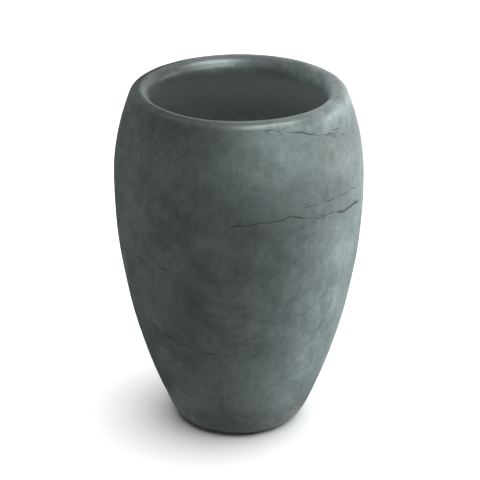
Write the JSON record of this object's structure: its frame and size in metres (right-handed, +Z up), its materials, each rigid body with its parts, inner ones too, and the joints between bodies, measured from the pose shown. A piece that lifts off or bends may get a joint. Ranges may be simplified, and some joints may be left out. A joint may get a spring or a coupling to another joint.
{
  "type": "tall flower pot",
  "caption": "Tall egg-shaped flower pot with a thick rolled lip, in satin slate-grey stone with fine natural cracks, with a pull-out drain bung and rubber foot pads.",
  "frame": {"origin": "on the floor, under the middle of the pot, in the plane of the foot pads' undersides", "axes": "+Z up along the pot's turning axis; +Y away from the picture's camera; +X to its right"},
  "size_m": [0.4, 0.4, 0.574],
  "materials": {
    "stone": "satin slate-grey cast stone, cloudy, with hairline cracks",
    "plug_rubber": "matt moulded rubber",
    "pad_rubber": "matt rubber sheet"
  },
  "bodies": {
    "pot": {"pot_body": "stone", "foot_pad_1": "pad_rubber", "foot_pad_2": "pad_rubber", "foot_pad_3": "pad_rubber", "foot_pad_4": "pad_rubber"},
    "plug": {"drain_plug": "plug_rubber"}
  },
  "joints": [
    {"name": "plug_lift", "type": "slide", "parent": "pot", "child": "plug", "axis": [0, 0, 1], "range_m": [0, 0.6]}
  ]
}
